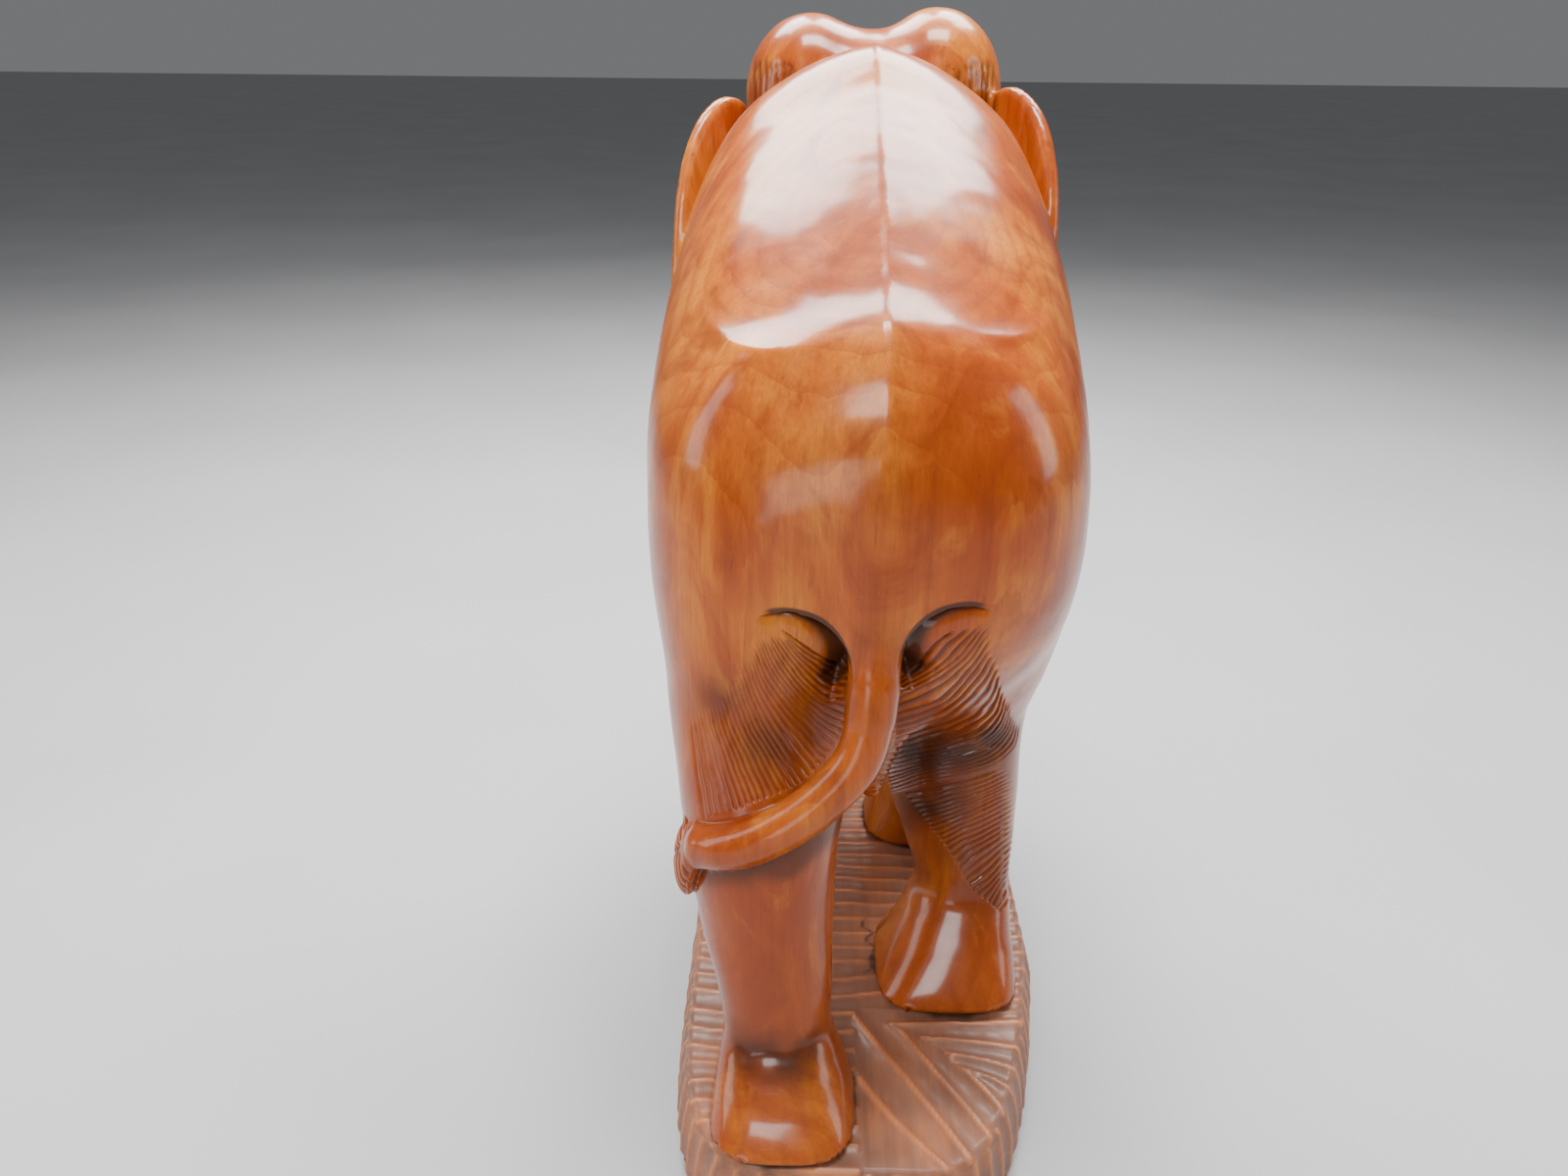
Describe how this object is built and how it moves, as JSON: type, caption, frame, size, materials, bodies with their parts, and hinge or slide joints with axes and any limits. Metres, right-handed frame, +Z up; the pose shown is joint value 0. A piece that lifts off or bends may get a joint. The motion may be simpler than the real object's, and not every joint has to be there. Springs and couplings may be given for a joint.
{
  "type": "carved elephant statuette",
  "caption": "Carved wooden elephant striding on a gouged plinth, head up, tail curled to its left, with push-fit tusks and bead eyes.",
  "frame": {"origin": "centre of the plinth's flat underside", "axes": "+Z up, +X to the elephant's left, +Y to its rear, so it faces -Y"},
  "size_m": [0.2116, 0.4919, 0.5354],
  "materials": {
    "figure_wood": "glossy varnish",
    "plinth_wood": "satin, gouged",
    "dowel_wood": "bare",
    "tusk": "smooth, pale",
    "eye_bead": "glossy"
  },
  "bodies": {
    "figure": {"carved_figure": "figure_wood", "plinth": "plinth_wood", "dowel_rear_left": "dowel_wood", "dowel_rear_right": "dowel_wood", "dowel_front_left": "dowel_wood", "dowel_front_right": "dowel_wood", "eye_left": "eye_bead", "eye_right": "eye_bead"},
    "left_tusk": {"tusk_left": "tusk"},
    "right_tusk": {"tusk_right": "tusk"}
  },
  "joints": [
    {"name": "tusk_left_pull", "type": "slide", "parent": "figure", "child": "left_tusk", "axis": [0.2003, -0.741, -0.6409], "range_m": [0, 0.03]},
    {"name": "tusk_right_pull", "type": "slide", "parent": "figure", "child": "right_tusk", "axis": [-0.2003, -0.741, -0.6409], "range_m": [0, 0.03]}
  ]
}
